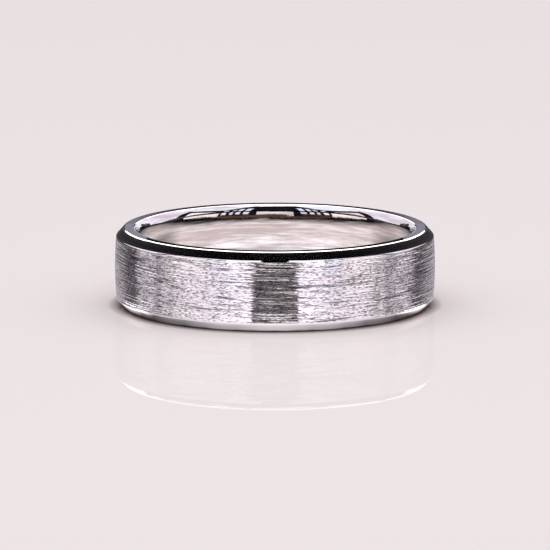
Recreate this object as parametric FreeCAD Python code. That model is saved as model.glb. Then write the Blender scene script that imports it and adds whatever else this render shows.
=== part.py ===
"""Wedding band: a bent white-gold shank closed by a soldered joint.

Millimetres. +Z is the finger axis. The origin is the centre of the finger hole, at mid width.
The shank's cross-section is drawn in the XZ half plane with X as the radius, and revolved.
"""
import FreeCAD, Part
import math
import os

from FreeCAD import Vector

# Driving dimensions
BORE_DIAMETER = 20.6        # finger hole at mid width, US size 11
OUTSIDE_DIAMETER = 24.5     # over the crown of the brushed face
WIDTH = 6.0                 # along the finger
CROWN_RISE = 0.10           # how far the brushed face bulges between its two edges

BEVEL_RADIAL = 0.58         # polished bevel, measured across the wall
BEVEL_AXIAL = 0.63          # polished bevel, measured along the finger
FACE_EDGE_BREAK = 0.25      # softening radius where face meets bevel
RIM_EDGE_BREAK = 0.25       # softening radius where bevel meets rim

BORE_STRAIGHT_HALF = 0.95   # half the length of the straight stretch in the finger hole
DOME_RADIUS = 9.8           # comfort-fit curve that opens the hole towards the rims
DOME_END_TILT = 7.8         # degrees from the finger axis where the dome meets the mouth curve
RIM_CORNER_RADIUS = 0.15    # small round between the mouth curve and the flat rim
RIM_CORNER_TILT = 45.0      # degrees from the finger axis where that small round begins

SEAM_WIDTH = 0.08           # thickness of the solder in the joint
SEAM_AZIMUTH = 90.0         # degrees from +X: the joint is at the back, on +Y

# Worked out from them
HALF_WIDTH = WIDTH / 2
BORE_RADIUS = BORE_DIAMETER / 2
CROWN_RADIUS = OUTSIDE_DIAMETER / 2
FACE_EDGE_RADIUS = CROWN_RADIUS - CROWN_RISE
FACE_EDGE_Z = HALF_WIDTH - BEVEL_AXIAL
RIM_OUTER_RADIUS = FACE_EDGE_RADIUS - BEVEL_RADIAL


def tangent_arc(start, tilt_from, tilt_to, radius):
    """The points of an arc that turns from one tilt to another, and where it ends.

    A tilt is the angle, in degrees, from the finger axis to the surface's tangent.
    """
    radius_at_start, z_at_start = start

    def at(tilt):
        a, b = math.radians(tilt_from), math.radians(tilt)
        return (radius_at_start + radius * (math.cos(a) - math.cos(b)),
                z_at_start + radius * (math.sin(b) - math.sin(a)))

    return at((tilt_from + tilt_to) / 2), at(tilt_to)


def mouth_radius():
    """Radius of the curve that fills the height left between the dome and the rim's small round."""
    dome_height = DOME_RADIUS * math.sin(math.radians(DOME_END_TILT))
    corner_height = RIM_CORNER_RADIUS * (1 - math.sin(math.radians(RIM_CORNER_TILT)))
    height = HALF_WIDTH - BORE_STRAIGHT_HALF - dome_height - corner_height
    return height / (math.sin(math.radians(RIM_CORNER_TILT)) - math.sin(math.radians(DOME_END_TILT)))


def inner_arcs():
    """The finger hole's curves from its straight stretch up to the flat rim, as three arcs."""
    steps = [
        (0.0, DOME_END_TILT, DOME_RADIUS),
        (DOME_END_TILT, RIM_CORNER_TILT, mouth_radius()),
        (RIM_CORNER_TILT, 90.0, RIM_CORNER_RADIUS),
    ]
    point = (BORE_RADIUS, BORE_STRAIGHT_HALF)
    arcs = []
    for tilt_from, tilt_to, radius in steps:
        middle, end = tangent_arc(point, tilt_from, tilt_to, radius)
        arcs.append((point, middle, end))
        point = end
    return arcs


def section():
    """The wall's cross-section, the same above and below mid width."""
    def at(point, side=1):
        return Vector(point[0], 0, side * point[1])

    def arc(points, side=1):
        return Part.Arc(*[at(p, side) for p in points]).toShape()

    def line(start, end):
        return Part.LineSegment(start, end).toShape()

    arcs = inner_arcs()
    rim_inner = arcs[-1][2]
    rim_outer = (RIM_OUTER_RADIUS, HALF_WIDTH)
    face_edge = (FACE_EDGE_RADIUS, FACE_EDGE_Z)
    face = Part.Arc(at(face_edge, -1), Vector(CROWN_RADIUS, 0, 0), at(face_edge)).toShape()
    edges = [line(at(arcs[0][0], -1), at(arcs[0][0]))]
    for side in (1, -1):
        edges += [arc(points, side) for points in arcs]
        edges.append(line(at(rim_inner, side), at(rim_outer, side)))
        edges.append(line(at(rim_outer, side), at(face_edge, side)))
    edges.append(face)
    return Part.Face(Part.Wire(Part.__sortEdges__(edges)))


def circles_at(solid, radius, z):
    """The solid's round edges that have this radius and this distance from mid width."""
    found = []
    for edge in solid.Edges:
        if not isinstance(edge.Curve, Part.Circle):
            continue
        same_radius = abs(edge.Curve.Radius - radius) < 1e-6
        same_height = abs(abs(edge.Curve.Center.z) - z) < 1e-6
        if same_radius and same_height:
            found.append(edge)
    return found


def closed_ring():
    """The whole band as one turned body, with its joint not yet divided off."""
    face = section()
    face.rotate(Vector(0, 0, 0), Vector(0, 0, 1), SEAM_AZIMUTH + 180)
    ring = face.revolve(Vector(0, 0, 0), Vector(0, 0, 1), 360)
    ring = ring.makeFillet(FACE_EDGE_BREAK, circles_at(ring, FACE_EDGE_RADIUS, FACE_EDGE_Z))
    return ring.makeFillet(RIM_EDGE_BREAK, circles_at(ring, RIM_OUTER_RADIUS, HALF_WIDTH))


def joint_gap():
    """The flat-sided space between the strip's two filed ends, which the solder fills."""
    gap = Part.makeBox(SEAM_WIDTH, OUTSIDE_DIAMETER, 2 * WIDTH, Vector(-SEAM_WIDTH / 2, 0, -WIDTH))
    gap.rotate(Vector(0, 0, 0), Vector(0, 0, 1), SEAM_AZIMUTH - 90)
    return gap


def band_shank():
    """The strip of metal bent round into a ring, with a narrow gap where its ends meet."""
    return closed_ring().cut(joint_gap()).Solids[0]


def solder_seam():
    """The solder that fills the gap and is finished flush with the shank all round."""
    return closed_ring().common(joint_gap()).Solids[0]


def main():
    os.makedirs("parts", exist_ok=True)
    nodes = {"band_shank": band_shank(), "solder_seam": solder_seam()}
    for name, solid in nodes.items():
        box = solid.optimalBoundingBox(False)
        print(f"{name}: valid {solid.isValid()}, {solid.Volume:.2f} mm3, "
              f"{box.XLength:.2f} x {box.YLength:.2f} x {box.ZLength:.2f} mm")
        solid.exportStep(f"parts/{name}.step")
    print(f"mouth curve radius {mouth_radius():.3f}, flat rim from {inner_arcs()[-1][2][0]:.3f} "
          f"to {RIM_OUTER_RADIUS:.3f} mm radius")


main()
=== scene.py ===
"""Looks for the wedding band: a brushed face between polished bevels, rims and finger hole.

Metres, +Z up, in the CAD part's own frame. The camera looks along +Y and slightly down.
"""
import math

import bpy
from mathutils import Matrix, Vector


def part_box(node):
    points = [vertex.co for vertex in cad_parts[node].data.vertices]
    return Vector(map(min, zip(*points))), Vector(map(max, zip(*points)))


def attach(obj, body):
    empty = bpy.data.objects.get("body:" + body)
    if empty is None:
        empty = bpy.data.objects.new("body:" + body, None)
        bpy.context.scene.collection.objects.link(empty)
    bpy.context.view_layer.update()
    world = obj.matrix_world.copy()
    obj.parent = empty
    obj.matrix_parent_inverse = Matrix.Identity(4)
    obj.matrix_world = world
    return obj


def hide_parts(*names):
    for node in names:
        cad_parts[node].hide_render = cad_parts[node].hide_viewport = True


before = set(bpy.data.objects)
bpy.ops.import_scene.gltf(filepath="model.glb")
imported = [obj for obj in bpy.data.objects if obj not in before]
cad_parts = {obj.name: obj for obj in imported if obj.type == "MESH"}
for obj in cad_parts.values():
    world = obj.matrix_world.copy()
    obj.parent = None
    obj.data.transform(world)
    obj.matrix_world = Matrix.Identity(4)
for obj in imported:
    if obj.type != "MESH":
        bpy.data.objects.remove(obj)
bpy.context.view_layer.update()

MM = 0.001

# The band. Outside size and width come from the CAD shank; the rest repeats its driving dimensions.
shank_low, shank_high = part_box("band_shank")
CROWN_RADIUS = (shank_high[0] - shank_low[0]) / 2
HALF_WIDTH = (shank_high[2] - shank_low[2]) / 2
BORE_RADIUS = 10.3 * MM
CROWN_RISE = 0.10 * MM
BEVEL_RADIAL = 0.58 * MM
BEVEL_AXIAL = 0.63 * MM
FACE_EDGE_BREAK = 0.25 * MM
RIM_EDGE_BREAK = 0.25 * MM
BORE_STRAIGHT_HALF = 0.95 * MM
DOME_RADIUS = 9.8 * MM
DOME_END_TILT = math.radians(7.8)
RIM_CORNER_RADIUS = 0.15 * MM
RIM_CORNER_TILT = math.radians(45)
SEAM_HALF_WIDTH = 0.04 * MM
SWEEP_COLUMNS = 720

# The camera: raised this far above the horizontal, with a long lens
CAMERA_ELEVATION = math.radians(9.97)
CAMERA_DISTANCE = 402 * MM
CAMERA_AIM_HEIGHT = -0.763 * MM
VIEW_WIDTH = 42.13 * MM
SENSOR_WIDTH_MM = 36.0

FACE, POLISH, BORE = "face", "polish", "bore"


# ---------------------------------------------------------------- the wall's cross-section

def arc_from(start, radius, from_angle, to_angle, steps):
    """Points of a convex arc after its start, each with the angle of its outward normal."""
    centre = (start[0] - radius * math.cos(from_angle), start[1] - radius * math.sin(from_angle))
    points = []
    for i in range(1, steps + 1):
        a = from_angle + (to_angle - from_angle) * i / steps
        points.append((centre[0] + radius * math.cos(a), centre[1] + radius * math.sin(a), a))
    return points


def rounded_corner(corner, radius, from_angle, to_angle, steps):
    """The arc that softens a corner, from its first tangent point to its last."""
    half = (to_angle - from_angle) / 2
    reach = radius / math.cos(half)
    middle = from_angle + half
    centre = (corner[0] - reach * math.cos(middle), corner[1] - reach * math.sin(middle))
    start = (centre[0] + radius * math.cos(from_angle), centre[1] + radius * math.sin(from_angle))
    return [(start[0], start[1], from_angle)] + arc_from(start, radius, from_angle, to_angle, steps)


def upper_half():
    """The section from mid face over the rim to mid bore: radius, height, normal's angle, zone."""
    face_edge_z = HALF_WIDTH - BEVEL_AXIAL
    crown_arc = (face_edge_z ** 2 + CROWN_RISE ** 2) / (2 * CROWN_RISE)
    crown_end = math.asin(face_edge_z / crown_arc)
    bevel = math.atan2(BEVEL_RADIAL, BEVEL_AXIAL)
    face_edge = (CROWN_RADIUS - CROWN_RISE, face_edge_z)
    rim_outer = (face_edge[0] - BEVEL_RADIAL, HALF_WIDTH)
    edge = rounded_corner(face_edge, FACE_EDGE_BREAK, crown_end, bevel, 10)
    face_end = math.asin(edge[0][1] / crown_arc)

    points = [(CROWN_RADIUS, 0.0, 0.0, FACE)]
    points += [p + (FACE,) for p in arc_from((CROWN_RADIUS, 0.0), crown_arc, 0.0, face_end, 14)]
    points += [p + (POLISH,) for p in edge[1:]]
    rim_edge = rounded_corner(rim_outer, RIM_EDGE_BREAK, bevel, math.pi / 2, 10)
    points += [p + (POLISH,) for p in rim_edge]

    dome_end = math.pi - DOME_END_TILT
    corner_end = math.pi - RIM_CORNER_TILT
    dome_height = DOME_RADIUS * math.sin(DOME_END_TILT)
    corner_height = RIM_CORNER_RADIUS * (1 - math.sin(RIM_CORNER_TILT))
    mouth_height = HALF_WIDTH - BORE_STRAIGHT_HALF - dome_height - corner_height
    mouth_radius = mouth_height / (math.sin(RIM_CORNER_TILT) - math.sin(DOME_END_TILT))
    rim_inner = BORE_RADIUS + DOME_RADIUS * (1 - math.cos(DOME_END_TILT))
    rim_inner += mouth_radius * (math.cos(DOME_END_TILT) - math.cos(RIM_CORNER_TILT))
    rim_inner += RIM_CORNER_RADIUS * math.cos(RIM_CORNER_TILT)
    inside = [(rim_inner, HALF_WIDTH, math.pi / 2)]
    inside += arc_from(inside[-1], RIM_CORNER_RADIUS, math.pi / 2, corner_end, 5)
    inside += arc_from(inside[-1], mouth_radius, corner_end, dome_end, 14)
    inside += arc_from(inside[-1], DOME_RADIUS, dome_end, math.pi, 6)
    inside.append((BORE_RADIUS, 0.0, math.pi))
    return points + [inside[0] + (POLISH,)] + [p + (BORE,) for p in inside[1:]]


def whole_section():
    """The closed section, the lower half mirrored from the upper one."""
    upper = upper_half()
    lower = [(r, -z, -a, zone) for r, z, a, zone in reversed(upper[1:-1])]
    return upper + lower


SECTION = whole_section()


# ---------------------------------------------------------------- meshes

def strip_zone(one, other):
    """The finish between two points of the section: the polish wins where they differ."""
    if one == other:
        return one
    return BORE if BORE in (one, other) else POLISH


def sweep_mesh(name, columns, turn_at, materials, zone_slot):
    """A closed solid: the section swept about +Z, its ends capped.

    turn_at(radius, column) gives the angle from +Y towards +X. Shading normals and the UV map,
    in millimetres along the sweep and along the section, come from the section itself.
    """
    count = len(SECTION)
    lengths = [0.0]
    for a, b in zip(SECTION, SECTION[1:]):
        lengths.append(lengths[-1] + math.hypot(b[0] - a[0], b[1] - a[1]))
    closing = math.hypot(SECTION[0][0] - SECTION[-1][0], SECTION[0][1] - SECTION[-1][1])
    lengths.append(lengths[-1] + closing)

    verts, directions = [], []
    for column in range(columns):
        for r, z, a, _ in SECTION:
            t = turn_at(r, column)
            verts.append((r * math.sin(t), r * math.cos(t), z))
            directions.append((math.cos(a) * math.sin(t), math.cos(a) * math.cos(t), math.sin(a)))
    faces, slots, uvs, normals = [], [], [], []
    for column in range(columns - 1):
        for i in range(count):
            j = (i + 1) % count
            corners = [(column, i), (column, j), (column + 1, j), (column + 1, i)]
            quad = [c * count + k for c, k in corners]
            faces.append(quad)
            slots.append(zone_slot[strip_zone(SECTION[i][3], SECTION[j][3])])
            normals += [directions[v] for v in quad]
            for c, k in corners:
                along = turn_at(CROWN_RADIUS, c) * CROWN_RADIUS / MM
                across = lengths[i + 1] if k == j else lengths[i]
                uvs.append((along, across / MM))
    for column, side in ((0, -1), (columns - 1, 1)):
        ring = [column * count + k for k in range(count)]
        if side < 0:
            ring.reverse()
        t = turn_at(CROWN_RADIUS, column)
        outward = (side * math.cos(t), -side * math.sin(t), 0.0)
        faces.append(ring)
        slots.append(zone_slot[POLISH])
        normals += [outward] * count
        uvs += [(SECTION[v % count][0] / MM, SECTION[v % count][1] / MM) for v in ring]

    mesh = bpy.data.meshes.new(name)
    mesh.from_pydata(verts, [], faces)
    for material in materials:
        mesh.materials.append(material)
    mesh.polygons.foreach_set("material_index", slots)
    mesh.polygons.foreach_set("use_smooth", [True] * len(faces))
    layer = mesh.uv_layers.new(name="metal")
    layer.data.foreach_set("uv", [value for uv in uvs for value in uv])
    mesh.normals_split_custom_set(normals)
    mesh.validate()
    piece = bpy.data.objects.new(name, mesh)
    bpy.context.scene.collection.objects.link(piece)
    return piece


def shank_turn(radius, column):
    """From the +X side of the joint once round to its -X side. The two sides are parallel."""
    start = math.asin(SEAM_HALF_WIDTH / radius)
    return start + (2 * math.pi - 2 * start) * column / (SWEEP_COLUMNS - 1)


def seam_turn(radius, column):
    """From the -X side of the joint to its +X side."""
    return math.asin(SEAM_HALF_WIDTH / radius) * (2 * column - 1)


# ---------------------------------------------------------------- metals

WHITE_GOLD = (0.82, 0.775, 0.76)
SOLDER = (0.81, 0.76, 0.74)

# Polished metal: its lightest marks' share of the metal's colour, and how much rougher marks can be
POLISH_LIGHTEST = 1.08
MARK_ROUGHNESS = 0.02
# The soft streaks: the range of the noise over which they fade in, and their share of the colour
HAZE_RANGE = (0.44, 0.60)
HAZE_TINT = (0.58, 0.52, 0.52)

# Brushed metal: how deep the grooves are, how strong the bright and dark scratches are beside the
# pits, the darkest and lightest shares of the metal's colour, and the least and most roughness
GROOVE_DEPTH = 0.075 * MM
SCRATCH_STRENGTH, BURR_STRENGTH = 0.95, 0.7
BRUSHED_DARKEST, BRUSHED_LIGHTEST = 0.25, 1.235
BRUSHED_ROUGHNESS = (0.12, 0.18)
# The scratches: their breaks per millimetre, and the range of the noise over which they are kept
LINE_BREAKS = 0.4
LINE_KEPT = (0.51, 0.56)


class Nodes:
    """A short way to add and join the shader nodes of one new material."""

    def __init__(self, name):
        self.material = bpy.data.materials.new(name)
        self.material.use_nodes = True
        self.tree = self.material.node_tree
        self.tree.nodes.clear()
        self.output = self.add("ShaderNodeOutputMaterial")

    def add(self, kind, settings=None, **inputs):
        node = self.tree.nodes.new(kind)
        for key, value in (settings or {}).items():
            setattr(node, key, value)
        for key, value in inputs.items():
            self.feed(node.inputs[key.replace("_", " ")], value)
        return node

    def feed(self, socket, value):
        if isinstance(value, bpy.types.NodeSocket):
            self.tree.links.new(value, socket)
        else:
            socket.default_value = value

    def math(self, operation, *values):
        node = self.add("ShaderNodeMath", {"operation": operation})
        for socket, value in zip(node.inputs, values):
            self.feed(socket, value)
        return node.outputs["Value"]

    def position(self):
        """Where a point lies, in millimetres: its X and Y, and its way along the wall's section."""
        place = self.add("ShaderNodeTexCoord").outputs["Object"]
        place = self.add("ShaderNodeSeparateXYZ", Vector=place)
        around = self.add("ShaderNodeUVMap", {"uv_map": "metal"}).outputs["UV"]
        across = self.add("ShaderNodeSeparateXYZ", Vector=around).outputs["Y"]
        x = self.math("DIVIDE", place.outputs["X"], MM)
        y = self.math("DIVIDE", place.outputs["Y"], MM)
        return x, y, across

    def grain(self, along, across, slant=0.0, shift=0.0, detail=3.0, roughness=0.55):
        """Noise drawn out round the band without a break.

        along and across are how many features it has per millimetre each way.
        """
        x, y, v = self.position()
        v = self.math("MULTIPLY_ADD", x, slant, v)
        place = self.add("ShaderNodeCombineXYZ", X=x, Y=y, Z=v)
        scaled = self.add("ShaderNodeMapping", Vector=place.outputs["Vector"],
                          Scale=(along, along, across), Location=(shift, 0.0, shift))
        node = self.add("ShaderNodeTexNoise", Vector=scaled.outputs["Vector"], Scale=1.0,
                        Detail=detail, Roughness=roughness)
        return node.outputs["Fac"]

    def lines(self, along, across, slant, shift, width):
        """Thin broken lines drawn out round the band: 1 on a line and 0 away from it.

        They run where one noise is at its middle value, and are kept where another is high.
        """
        field = self.grain(along, across, slant, shift, detail=0.0)
        away = self.math("ABSOLUTE", self.math("SUBTRACT", field, 0.5))
        kept = self.grain(LINE_BREAKS, across, slant, shift + 50.0, detail=0.0)
        return self.math("MULTIPLY", self.span(away, 0.4 * width, width, 1.0, 0.0),
                         self.span(kept, *LINE_KEPT, 0.0, 1.0))

    def span(self, value, low, high, to_low, to_high):
        node = self.add("ShaderNodeMapRange", Value=value, From_Min=low, From_Max=high,
                        To_Min=to_low, To_Max=to_high)
        return node.outputs["Result"]

    def tint(self, value, dark, light):
        ramp = self.add("ShaderNodeMix", {"data_type": "RGBA"}, Factor=value)
        ramp.inputs["A"].default_value = (*dark, 1.0)
        ramp.inputs["B"].default_value = (*light, 1.0)
        return ramp.outputs["Result"]


def shade(colour, amount):
    return tuple(c * amount for c in colour)


def polished_metal(name, gold, waviness, gloss, across, relief, fade, haze=0.0):
    """Hand-polished metal: a little uneven, with fine marks that follow the band round.

    waviness is the unevenness's depth and gloss the roughness. across is the marks' number per
    millimetre, relief their depth beside the unevenness, and fade how much darker than the metal
    they can be. haze is how strong the soft darker streaks are.
    """
    n = Nodes(name)
    cloud = n.grain(0.3, 1.3, detail=2.0)
    hairlines = n.grain(0.7, across, detail=3.0, roughness=0.7)
    height = n.math("MULTIPLY_ADD", hairlines, relief, cloud)
    bump = n.add("ShaderNodeBump", Strength=1.0, Distance=waviness, Height=height)
    shader = n.add("ShaderNodeBsdfPrincipled", Metallic=1.0, IOR=1.5)
    lightness = n.span(hairlines, 0.25, 0.75, 0.0, 1.0)
    colour = n.tint(lightness, shade(gold, 1 - fade), shade(gold, POLISH_LIGHTEST))
    if haze:
        streaks = n.span(n.grain(0.26, 4.0, shift=11.0, detail=2.0), *HAZE_RANGE, 0.0, haze)
        hazy = n.add("ShaderNodeMix", {"data_type": "RGBA"}, Factor=streaks)
        n.feed(hazy.inputs["A"], colour)
        hazy.inputs["B"].default_value = (*(c * k for c, k in zip(gold, HAZE_TINT)), 1.0)
        colour = hazy.outputs["Result"]
    n.feed(shader.inputs["Base Color"], colour)
    rough = n.span(hairlines, 0.35, 0.75, gloss, gloss + MARK_ROUGHNESS)
    n.feed(shader.inputs["Roughness"], rough)
    n.feed(shader.inputs["Normal"], bump.outputs["Normal"])
    n.feed(n.output.inputs["Surface"], shader.outputs["BSDF"])
    return n.material


def brushed_metal(name, gold):
    """Metal brushed round the band: grooves, short dull pits, and long bright and dark scratches."""
    n = Nodes(name)
    groove = n.grain(0.28, 9.0, slant=0.02, detail=0.0)
    pits = n.grain(3.4, 12.0, slant=-0.02, shift=3.0, detail=1.0, roughness=0.7)
    scratch = n.math("MAXIMUM",
                     n.lines(along=0.14, across=7.0, slant=-0.03, shift=7.0, width=0.05),
                     n.lines(along=0.11, across=5.0, slant=0.05, shift=19.0, width=0.038))
    burr = n.lines(along=0.10, across=5.5, slant=0.01, shift=31.0, width=0.045)
    bump = n.add("ShaderNodeBump", Strength=1.0, Distance=GROOVE_DEPTH, Height=groove)
    marks = n.math("SUBTRACT", n.math("MULTIPLY", scratch, SCRATCH_STRENGTH),
                   n.math("MULTIPLY", burr, BURR_STRENGTH))
    tone = n.math("SUBTRACT", n.span(pits, 0.33, 0.55, 0.0, 1.0), marks)
    shader = n.add("ShaderNodeBsdfPrincipled", Metallic=1.0, IOR=1.5, Anisotropic=0.9,
                   Anisotropic_Rotation=0.25)
    tangent = n.add("ShaderNodeTangent", {"direction_type": "RADIAL", "axis": "Z"})
    colour = n.tint(tone, shade(gold, BRUSHED_DARKEST), shade(gold, BRUSHED_LIGHTEST))
    n.feed(shader.inputs["Base Color"], colour)
    n.feed(shader.inputs["Roughness"], n.span(pits, 0.3, 0.7, *BRUSHED_ROUGHNESS))
    n.feed(shader.inputs["Normal"], bump.outputs["Normal"])
    n.feed(shader.inputs["Tangent"], tangent.outputs["Tangent"])
    n.feed(n.output.inputs["Surface"], shader.outputs["BSDF"])
    return n.material


def metals(name, gold):
    """The three finishes of one alloy, in the order of the mesh's material slots."""
    polish = polished_metal(f"polished_{name}", gold, waviness=0.004 * MM, gloss=0.03, across=24.0,
                            relief=0.02, fade=0.10)
    bore = polished_metal(f"bore_{name}", gold, waviness=0.011 * MM, gloss=0.03, across=6.0,
                          relief=0.14, fade=0.30, haze=0.7)
    return [brushed_metal(f"brushed_{name}", gold), polish, bore]


def make_band():
    slots = {FACE: 0, POLISH: 1, BORE: 2}
    gold = metals("white_gold", WHITE_GOLD)
    shank = sweep_mesh("band_shank_metal", SWEEP_COLUMNS, shank_turn, gold, slots)
    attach(shank, "root")
    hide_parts("band_shank")
    seam = sweep_mesh("solder_seam_metal", 2, seam_turn, metals("solder", SOLDER), slots)
    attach(seam, "root")
    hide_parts("solder_seam")


# ---------------------------------------------------------------- the studio

FLOOR_COLOUR = (0.726, 0.663, 0.671)
FLOOR_GLOSS = 0.08                  # the part of the light that the floor mirrors
FLOOR_RADIUS = 1200 * MM
FLOOR_GAP = 0.005 * MM              # how far below the band the floor lies
# A pool of light painted into the floor's colour: brightest at this point, just in front of the band
PAINTED_LIGHT_CENTRE = (0.0, -60 * MM, 0.0)
PAINTED_LIGHT_FADE_LENGTH = 250 * MM              # how far from there the floor has faded by a twentieth
# The contact shadow painted as a dark ring where the band stands: its colour, and where it fades
# inside and outside
CONTACT_SHADOW_COLOUR = (0.110, 0.062, 0.055)
CONTACT_SHADOW_INSIDE = (10.7 * MM, 10.9 * MM)
CONTACT_SHADOW_OUTSIDE = (12.08 * MM, 13.2 * MM)

SHEET_HEIGHT = shank_low[2] + 0.002 * MM
CONTACT_SHEET_HEIGHT = SHEET_HEIGHT + 0.002 * MM
CARD_DISTANCE = 500 * MM
CARD_STEP = 5                       # degrees between a card's columns, at most
CARD_ROWS = 8
OVERHEAD = (0, 0, 50 * MM)          # what the sheets on the table turn their fronts to
HORIZON_COLOUR = (0.805, 0.737, 0.745)
COOL, NEUTRAL, WARM = (0.86, 0.90, 1.0), (0.95, 0.93, 1.0), (1.0, 0.95, 0.99)
LILAC, ICE = (0.91, 0.87, 1.02), (0.80, 0.88, 1.08)
BLUE_GREY = (0.24, 0.27, 0.34)

# The world's strength: for matt surfaces at the horizon and overhead, for sharp reflections, for metal
SOFT_STRENGTH = (0.25, 1.75)
WALL_STRENGTH = 0.5
ROOM_STRENGTH = 0.05


def floor_material():
    """Pale acrylic: matt, with a faint clear reflection, a painted pool of light a little brighter in
    front of the band, and a painted contact shadow where the band stands.
    """
    n = Nodes("pale_acrylic")
    place = n.add("ShaderNodeTexCoord").outputs["Object"]
    radius = n.add("ShaderNodeVectorMath", {"operation": "LENGTH"})
    n.feed(radius.inputs[0], place)
    # The contact shadow is painted: the floor's colour turns dark in a ring where the band stands, on
    # top of the soft shadow that the light casts.
    inside = n.span(radius.outputs["Value"], *CONTACT_SHADOW_INSIDE, 1.0, 0.0)
    outside = n.span(radius.outputs["Value"], *CONTACT_SHADOW_OUTSIDE, 0.0, 1.0)
    clear_of_painted_shadow = n.math("MAXIMUM", outside, inside)
    # A painted pool of light: the floor's colour is brightest just in front of the band and a
    # twentieth darker far from it.
    away = n.add("ShaderNodeVectorMath", {"operation": "DISTANCE"})
    n.feed(away.inputs[0], place)
    away.inputs[1].default_value = PAINTED_LIGHT_CENTRE
    fade = n.span(away.outputs["Value"], 0.0, PAINTED_LIGHT_FADE_LENGTH, 0.0, 1.0)
    floor_with_painted_light = n.tint(fade, FLOOR_COLOUR, shade(FLOOR_COLOUR, 0.95))
    painted_shadow = n.add("ShaderNodeMix", {"data_type": "RGBA"}, Factor=clear_of_painted_shadow)
    painted_shadow.inputs["A"].default_value = (*CONTACT_SHADOW_COLOUR, 1.0)
    n.feed(painted_shadow.inputs["B"], floor_with_painted_light)
    matt = n.add("ShaderNodeBsdfDiffuse", Color=painted_shadow.outputs["Result"])
    clear = n.add("ShaderNodeBsdfGlossy", Color=(1.0, 1.0, 1.0, 1.0), Roughness=0.0)
    mix = n.add("ShaderNodeMixShader", Fac=FLOOR_GLOSS)
    n.feed(mix.inputs[1], matt.outputs["BSDF"])
    n.feed(mix.inputs[2], clear.outputs["BSDF"])
    n.feed(n.output.inputs["Surface"], mix.outputs["Shader"])
    return n.material


def card_material(name, colour, glow, reach=None):
    """A card that glows on its front, and is clear from behind or from farther than its reach.

    The floor's sharp reflection leaves it out too. A colour of None takes the mesh's own "glow".
    """
    n = Nodes(name)
    lit = n.add("ShaderNodeEmission", Strength=glow)
    if colour is None:
        own = n.add("ShaderNodeAttribute", {"attribute_name": "glow"})
        n.feed(lit.inputs["Color"], own.outputs["Color"])
    else:
        lit.inputs["Color"].default_value = (*colour, 1.0)
    clear = n.add("ShaderNodeBsdfTransparent")
    path = n.add("ShaderNodeLightPath")
    hidden = n.math("MAXIMUM", n.add("ShaderNodeNewGeometry").outputs["Backfacing"],
                    path.outputs["Is Singular Ray"])
    if reach:
        too_far = n.math("GREATER_THAN", path.outputs["Ray Length"], reach)
        hidden = n.math("MAXIMUM", hidden, too_far)
    mix = n.add("ShaderNodeMixShader", Fac=hidden)
    n.feed(mix.inputs[1], lit.outputs["Emission"])
    n.feed(mix.inputs[2], clear.outputs["BSDF"])
    n.feed(n.output.inputs["Surface"], mix.outputs["Shader"])
    return n.material


def staged(name, verts, faces, material):
    """An object of the set, which isn't part of the band."""
    mesh = bpy.data.meshes.new(name)
    mesh.from_pydata(verts, [], faces)
    mesh.materials.append(material)
    mesh.polygons.foreach_set("use_smooth", [True] * len(faces))
    obj = bpy.data.objects.new(name, mesh)
    bpy.context.scene.collection.objects.link(obj)
    return obj


def staged_card(name, rows, columns, verts, inward, material):
    """A card made of rows of points, seen only in reflections. Its front turns towards inward."""
    faces = []
    for i in range(rows - 1):
        for j in range(columns - 1):
            k = i * columns + j
            faces.append((k, k + 1, k + columns + 1, k + columns))
    a, b, c = (Vector(verts[k]) for k in faces[-1][:3])
    if (b - a).cross(c - b).dot(Vector(inward) - a) < 0:
        faces = [tuple(reversed(face)) for face in faces]
    card = staged(name, verts, faces, material)
    card.visible_camera = False
    card.visible_diffuse = False
    card.visible_shadow = False
    return card


def glowing_card(name, rows, inward, reach=None):
    """A card from rows of points: each row is its points, its colour and the glow at each point."""
    verts = [vert for points, _, _ in rows for vert in points]
    glows = []
    for _, colour, levels in rows:
        for glow in levels:
            glows += [*shade(colour, glow), 1.0]
    material = card_material(name, None, 1.0, reach)
    card = staged_card(name, len(rows), len(rows[0][0]), verts, inward, material)
    layer = card.data.color_attributes.new("glow", "FLOAT_COLOR", "POINT")
    layer.data.foreach_set("color", glows)


def make_floor():
    steps = 96
    z = shank_low[2] - FLOOR_GAP
    verts = [(0.0, 0.0, z)]
    for i in range(steps):
        t = 2 * math.pi * i / steps
        verts.append((FLOOR_RADIUS * math.sin(t), FLOOR_RADIUS * math.cos(t), z))
    faces = [(0, (i + 1) % steps + 1, i + 1) for i in range(steps)]
    staged("floor", verts, faces, floor_material())


def heading_point(heading, elevation, distance):
    """A point seen from the band: heading 0 is towards the camera's side, -Y, and 90 is +X."""
    h, e = math.radians(heading), math.radians(elevation)
    return (distance * math.cos(e) * math.sin(h), -distance * math.cos(e) * math.cos(h),
            distance * math.sin(e))


def make_card(name, headings, start, end, colour, glow, distance=CARD_DISTANCE):
    """A softbox or flag bent round the band.

    start and end are its lower and upper elevations at its first and last heading, in degrees.
    """
    columns = int(abs(headings[1] - headings[0]) / CARD_STEP) + 2
    verts = []
    for i in range(CARD_ROWS):
        up = i / (CARD_ROWS - 1)
        for j in range(columns):
            along = j / (columns - 1)
            low = start[0] + (end[0] - start[0]) * along
            high = start[1] + (end[1] - start[1]) * along
            heading = headings[0] + (headings[1] - headings[0]) * along
            verts.append(heading_point(heading, low + (high - low) * up, distance))
    staged_card(name, CARD_ROWS, columns, verts, (0, 0, 0), card_material(name, colour, glow))


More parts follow.
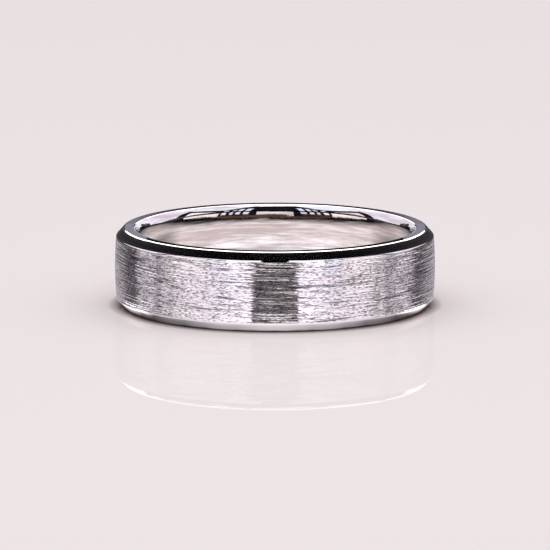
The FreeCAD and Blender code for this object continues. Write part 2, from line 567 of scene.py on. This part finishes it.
MIDDLE_CARDS = (
    # name, headings, elevations at the first and last heading, colour, glow, distance if unusual
    ("front_window", (-16, 16), (6.2, 27), (6.2, 27), WARM, 1.2),
    ("front_low", (-60, 60), (1, 5.6), (1, 5.6), (1.0, 0.56, 0.42), 0.14),
    ("rear_low", (150, 210), (1, 7.6), (1, 7.6), NEUTRAL, 1.1),
    ("top_softbox", (0, 360), (68, 90), (68, 90), NEUTRAL, 2.9),
    ("rear_high", (145, 215), (24, 68), (24, 68), NEUTRAL, 3.7, 480 * MM),
    ("rear_top", (112, 248), (46, 68), (46, 68), NEUTRAL, 3.7, 470 * MM),
)
SIDE_CARDS = (
    ("strip_1", (23, 28), (9, 52), (9, 50), ICE, 1.5),
    ("strip_2", (31, 35), (9, 48), (9, 46), ICE, 1.6),
    ("strip_3", (37.5, 40.5), (9, 44), (9, 42), ICE, 1.3),
    ("strip_4", (44, 48.5), (9, 38), (9, 36), ICE, 1.6),
    ("softbox", (51, 86), (4, 30), (4, 36), WARM, 1.4),
    ("over_strips", (32, 48), (66, 68), (43, 68), COOL, 1.5),
    ("over_softbox", (48, 96), (40, 68), (44, 68), COOL, 1.4),
    ("rear_side", (96, 166), (7, 68), (2, 68), LILAC, 1.3),
    ("rear_corner", (158, 176), (13, 26), (12, 26), NEUTRAL, 3.7, 480 * MM),
)


def make_cards():
    for card in MIDDLE_CARDS:
        make_card(*card)
    for name, headings, *rest in SIDE_CARDS:
        make_card(f"{name}_right", headings, *rest)
        make_card(f"{name}_left", tuple(-h for h in headings), *rest)


FAN_START, FAN_REACH = 12.7 * MM, 50 * MM
FAN_FOOT = 0.01 * MM        # how far above the table the screen's own glow begins
FAN_TOP = math.radians(14)  # the screen's top, seen from the band
FAN_SEEN_WITHIN = 1.16 * FAN_REACH
FAN_COLOUR = (0.935, 0.870, 0.985)
# How bright the table and the low screen round it are, along the level lines that leave the face
# for them: degrees round the band from the front, glow of the table, glow of the screen
FAN = ((0, 0.14, 0.14), (8.35, 0.13, 0.13), (8.55, 1.50, 1.50), (11, 1.42, 1.42), (15, 1.30, 1.30),
       (20, 1.12, 1.12), (25, 0.95, 0.95), (33, 0.98, 0.98), (38, 0.84, 0.84), (40.5, 0.40, 0.40),
       (43.5, 0.92, 0.92), (46.5, 0.32, 0.32), (50, 0.68, 0.68), (54, 0.45, 0.45),
       (57.5, 0.70, 0.70), (60, 0.12, 0.12), (66, 0.12, 0.08), (70, 0.30, 0.08), (73, 0.46, 0.08),
       (78, 0.48, 0.08), (89, 0.48, 0.08))


def make_fan():
    """Light and dark sheets that fan out over the table and turn up into a low screen.

    Each edge starts at the face and runs the way that the face mirrors a level ray from the front.
    """
    stops = [(-angle, *levels) for angle, *levels in reversed(FAN)] + list(FAN[1:])
    near, far = [], []
    for angle, _, _ in stops:
        t, h = math.radians(angle), math.radians(2 * angle)
        x, y = FAN_START * math.sin(t), -FAN_START * math.cos(t)
        near.append((x, y))
        far.append((x + FAN_REACH * math.sin(h), y - FAN_REACH * math.cos(h)))
    table, screen = [stop[1] for stop in stops], [stop[2] for stop in stops]
    rows = []
    for line, z, levels in ((near, SHEET_HEIGHT, table), (far, SHEET_HEIGHT, table),
                            (far, SHEET_HEIGHT + FAN_FOOT, screen),
                            (far, FAN_REACH * math.tan(FAN_TOP), screen)):
        rows.append(([(*point, z) for point in line], FAN_COLOUR, levels))
    glowing_card("fan", rows, OVERHEAD, FAN_SEEN_WITHIN)


CONTACT_SHEET_COLOUR = (0.97, 0.93, 1.0)
CONTACT_SHEET_SEEN_WITHIN = 4 * MM
CONTACT_RADII = (11.3, 11.58, 11.66, 11.74, 11.9, 12.1, 12.3, 13.8)
# How bright the painted reflection of the table under the lower bevel is, dark near the band as
# painted shade: degrees round, then the glow at each of those radii
CONTACT = (
    (0, 0.03, 0.05, 0.50, 0.74, 0.80, 1.05, 1.22, 1.25),
    (8, 0.03, 0.05, 0.42, 0.66, 0.72, 0.98, 1.15, 1.25),
    (14, 0.03, 0.05, 0.34, 0.54, 0.58, 0.90, 1.10, 1.20),
    (27, 0.02, 0.04, 0.22, 0.38, 0.44, 0.72, 1.00, 1.15),
    (36, 0.02, 0.03, 0.12, 0.20, 0.26, 0.40, 0.80, 1.00),
    (52, 0.02, 0.03, 0.06, 0.09, 0.13, 0.22, 0.60, 0.80),
    (60, 0.02, 0.03, 0.06, 0.12, 0.30, 1.50, 1.90, 1.00),
    (66, 0.02, 0.04, 0.10, 0.30, 0.80, 1.90, 2.00, 0.80),
    (76, 0.02, 0.04, 0.10, 0.30, 0.60, 1.70, 1.80, 0.50),
    (84, 0.02, 0.03, 0.07, 0.13, 0.19, 0.30, 0.40, 0.45),
    (96, 0.02, 0.04, 0.18, 0.36, 0.45, 0.65, 0.75, 0.75),
    (120, 0.02, 0.04, 0.20, 0.40, 0.50, 0.70, 0.80, 0.80),
    (180, 0.02, 0.04, 0.20, 0.40, 0.50, 0.70, 0.80, 0.80),
)


def make_contact_sheet():
    """A glowing ring of card on the table that only the lower bevel mirrors: a painted reflection of
    the table, with painted shade where the band meets it.
    """
    stops = [(-row[0], row[1:]) for row in reversed(CONTACT)]
    stops += [(row[0], row[1:]) for row in CONTACT[1:]]
    rows = []
    for k, radius in enumerate(CONTACT_RADII):
        points = []
        for angle, _ in stops:
            t, r = math.radians(angle), radius * MM
            points.append((r * math.sin(t), -r * math.cos(t), CONTACT_SHEET_HEIGHT))
        rows.append((points, CONTACT_SHEET_COLOUR, [levels[k] for _, levels in stops]))
    glowing_card("contact_sheet", rows, OVERHEAD, CONTACT_SHEET_SEEN_WITHIN)


FLAG_COLOUR = (1.0, 0.96, 1.04)
FLAG_HEIGHT = 12 * MM
FLAG_FARTHEST = 15 * MM
FLAG_END, FLAG_STEP = 87, 3     # degrees round from the front
# Across the flag, from its middle line towards the outside: how far in mm, and its glow
FLAG_ROWS = ((-2.2, 0.05), (-0.35, 0.06), (-0.05, 0.02), (0.3, 0.012), (2.2, 0.03))
# That glow is times this at the front, and rises by this much towards the sides
FLAG_GLOW_AT_FRONT, FLAG_GLOW_RISE = 0.1, 3.0
# Over the front the flag's inner side follows what the bevel's mirror image in the floor sees, up
# to this many degrees round, from these radii of the bevel, seen from this far below the horizontal
FLAG_FRONT_END = 57
FLAG_FRONT_RADII = (11.72 * MM, 12.10 * MM)
FLOOR_VIEW_ELEVATION = math.radians(11.4)


def mirrored_at_flag(degrees, radius, elevation):
    """Follow a line of sight from this elevation that the upper bevel mirrors.

    Returns where it reaches the flag's height, or the farthest the flag goes, and the way it runs.
    """
    bevel = math.atan2(BEVEL_RADIAL, BEVEL_AXIAL)
    viewer = Vector((0, -math.cos(elevation), math.sin(elevation)))
    t = math.radians(degrees)
    normal = Vector((math.cos(bevel) * math.sin(t), -math.cos(bevel) * math.cos(t),
                     math.sin(bevel)))
    point = Vector((radius * math.sin(t), -radius * math.cos(t), HALF_WIDTH))
    ray = 2 * normal.dot(viewer) * normal - viewer
    return point + ray * min(FLAG_FARTHEST, FLAG_HEIGHT / max(ray.z, 0.01)), ray


def flag_front(degrees):
    """The flag's inner side over the front."""
    near, far = FLAG_FRONT_RADII
    radius = near + (far - near) * min(1.0, abs(degrees) / FLAG_FRONT_END) ** 2
    return mirrored_at_flag(degrees, radius, -FLOOR_VIEW_ELEVATION)[0]


def make_flag():
    """A black flag above the band, along the line that its upper bevel mirrors to the camera.

    Over the front it reaches inwards to what the bevel's mirror image in the floor sees, and stops
    short of what the rim's edge sees there, which stays bright.
    """
    bevel_middle = CROWN_RADIUS - CROWN_RISE - BEVEL_RADIAL / 2
    turns = list(range(-FLAG_END, FLAG_END + 1, FLAG_STEP))
    middle = [mirrored_at_flag(d, bevel_middle, CAMERA_ELEVATION) for d in turns]
    rows = []
    for offset, glow in FLAG_ROWS:
        points, levels = [], []
        for i, degrees in enumerate(turns):
            point, ray = middle[i]
            ahead, behind = middle[min(i + 1, len(middle) - 1)][0], middle[max(i - 1, 0)][0]
            point = point + (ahead - behind).cross(ray).normalized() * offset * MM
            if offset == FLAG_ROWS[0][0] and abs(degrees) <= FLAG_FRONT_END:
                point = flag_front(degrees)
            points.append(tuple(point))
            rise = FLAG_GLOW_RISE * math.sin(math.radians(degrees)) ** 4
            levels.append(glow * (FLAG_GLOW_AT_FRONT + rise))
        rows.append((points, FLAG_COLOUR, levels))
    glowing_card("black_flag", rows, (0, 0, 0))


# Very small cards just before the face's upper edge: name, left and right side in mm, glow
CHIPS = (("black_chip", -0.95, 0.95, 0.0),
         ("left_chip", -4.2, -1.1, 1.5),
         ("right_chip", 1.1, 4.2, 1.5))
CHIP_GAP = 0.3 * MM
CHIP_BELOW_RIM, CHIP_ABOVE_RIM = 0.6 * MM, 0.4 * MM
CHIP_REACH = 1.6 * MM
CHIP_BEND = 0.6             # how far out along a chip it is as far from the face as CHIP_GAP


def make_chips():
    """They are so near and so small that only the rounded edge beside them sees them."""
    low, high = HALF_WIDTH - CHIP_BELOW_RIM, HALF_WIDTH + CHIP_ABOVE_RIM
    for name, left, right, glow in CHIPS:
        along = max(-left, right) * CHIP_BEND * MM
        depth = math.sqrt((CROWN_RADIUS + CHIP_GAP) ** 2 - along ** 2)
        verts = [(x * MM, -depth, z) for z in (low, high) for x in (left, right)]
        staged_card(name, 2, 2, verts, (0, 0, low), card_material(name, NEUTRAL, glow, CHIP_REACH))


# The card in the finger hole, from the top of its upright edge to its middle: radius in mm, height
# above the table in mm, how many mm more that height is at the sides, glow, and the part of that
# glow it loses at the back
INNER_ROWS = (
    (10.2, 5.9, 0.0, 0.01, 0.0),
    (10.2, 5.55, -0.35, 0.01, 0.0),
    (10.2, 4.95, -0.4, 0.42, 0.0),
    (10.2, 4.1, -0.3, 0.90, 0.05),
    (10.2, 3.2, 0.2, 1.12, 0.35),
    (10.2, 2.0, 1.0, 1.12, 0.65),
    (10.2, 0.2, 0.0, 1.12, 0.70),
    (10.4, 0.0, 0.0, 1.20, 0.65),
    (9.9, 0.0, 0.0, 1.45, 0.30),
    (8.8, 0.0, 0.0, 1.55, 0.0),
    (7.6, 0.0, 0.0, 1.42, 0.0),
    (6.2, 0.0, 0.0, 1.20, 0.0),
    (4.6, 0.0, 0.0, 1.02, 0.0),
    (0.0, 0.0, 0.0, 0.97, 0.0),
)
INNER_COLOUR, INNER_EDGE_COLOUR = (1.0, 0.98, 1.02), (1.0, 0.91, 0.935)
INNER_STEPS = 72
INNER_BACK_SHARE = 0.3      # of what the sides gain in height, what the back gains and the front loses

# Upwards, height in mm and glow, of the card for the rim's back half and of those for its two ends
REAR_NEAR = ((3.2, 0.03), (6.6, 0.05), (7.4, 0.26), (8.8, 0.28), (9.6, 0.05), (18.0, 0.03))
REAR_TIP = ((6.9, 0.32), (10.0, 0.32))
REAR_NEAR_COLOUR = (0.86, 0.85, 1.04)


def make_rear_near(name, left, right, behind, levels, reach):
    """An upright card behind the band, for the flat rim alone.

    Its left and right sides, its distance behind the middle and its reach are in mm.
    """
    rows = []
    for z, glow in levels:
        points = [(x * MM, behind * MM, z * MM) for x in (left, right)]
        rows.append((points, REAR_NEAR_COLOUR, (glow, glow)))
    glowing_card(name, rows, (0, 0, 0), reach * MM)


def make_inner_card():
    """A dish of card in the finger hole, its upright edge just inside the wall."""
    rows = []
    for radius, height, more, glow, loss in INNER_ROWS:
        points, levels = [], []
        for i in range(INNER_STEPS + 1):
            t = 2 * math.pi * i / INNER_STEPS
            share = INNER_BACK_SHARE * math.cos(t) + math.sin(t) ** 2
            z = SHEET_HEIGHT + (height + more * share) * MM
            points.append((radius * MM * math.sin(t), radius * MM * math.cos(t), z))
            at_back = max(0.0, math.cos(2 * t)) if math.cos(t) > 0 else 0.0
            levels.append(glow * (1 - loss * at_back))
        rows.append((points, INNER_EDGE_COLOUR if height else INNER_COLOUR, levels))
    glowing_card("inner_card", rows, OVERHEAD)


def make_near_cards():
    """The cards so near to the band that each is seen by one part of it."""
    make_rear_near("rear_near", -14.0, 14.0, 30.0, REAR_NEAR, 29)
    make_rear_near("rear_left", -13.6, -10.6, 31.0, REAR_TIP, 38)
    make_rear_near("rear_right", 10.6, 13.6, 31.0, REAR_TIP, 38)
    make_inner_card()


def make_world():
    """Soft light for the floor, pale walls in its sheen, and a dim room for the metal."""
    world = bpy.data.worlds.new("studio")
    bpy.context.scene.world = world
    world.use_nodes = True
    tree = world.node_tree
    tree.nodes.clear()

    def background(colour, strength):
        node = tree.nodes.new("ShaderNodeBackground")
        node.inputs["Color"].default_value = (*colour, 1.0)
        node.inputs["Strength"].default_value = strength
        return node

    path = tree.nodes.new("ShaderNodeLightPath")
    soft, room = background((1, 1, 1), 1.0), background(BLUE_GREY, ROOM_STRENGTH)
    backdrop, walls = background(HORIZON_COLOUR, 1.0), background(HORIZON_COLOUR, WALL_STRENGTH)
    up = tree.nodes.new("ShaderNodeSeparateXYZ")
    tree.links.new(tree.nodes.new("ShaderNodeTexCoord").outputs["Generated"], up.inputs["Vector"])
    overhead = tree.nodes.new("ShaderNodeMapRange")
    overhead.inputs["To Min"].default_value, overhead.inputs["To Max"].default_value = SOFT_STRENGTH
    tree.links.new(up.outputs["Z"], overhead.inputs["Value"])
    tree.links.new(overhead.outputs["Result"], soft.inputs["Strength"])
    seen = room
    for ray, node in (("Singular", walls), ("Diffuse", soft), ("Camera", backdrop)):
        mix = tree.nodes.new("ShaderNodeMixShader")
        tree.links.new(path.outputs[f"Is {ray} Ray"], mix.inputs["Fac"])
        tree.links.new(seen.outputs[0], mix.inputs[1])
        tree.links.new(node.outputs[0], mix.inputs[2])
        seen = mix
    tree.links.new(seen.outputs[0], tree.nodes.new("ShaderNodeOutputWorld").inputs["Surface"])


def make_camera():
    data = bpy.data.cameras.new("camera")
    data.sensor_width = SENSOR_WIDTH_MM
    data.lens = SENSOR_WIDTH_MM * CAMERA_DISTANCE / VIEW_WIDTH
    data.clip_start, data.clip_end = 10 * MM, 3000 * MM
    camera = bpy.data.objects.new("camera", data)
    camera.location = (0.0, -CAMERA_DISTANCE * math.cos(CAMERA_ELEVATION),
                       CAMERA_AIM_HEIGHT + CAMERA_DISTANCE * math.sin(CAMERA_ELEVATION))
    camera.rotation_euler = (math.pi / 2 - CAMERA_ELEVATION, 0.0, 0.0)
    bpy.context.scene.collection.objects.link(camera)
    bpy.context.scene.camera = camera


make_camera()
make_world()
make_floor()
make_cards()
make_fan()
make_contact_sheet()
make_flag()
make_chips()
make_near_cards()
make_band()
bpy.context.scene.view_settings.view_transform = "Standard"
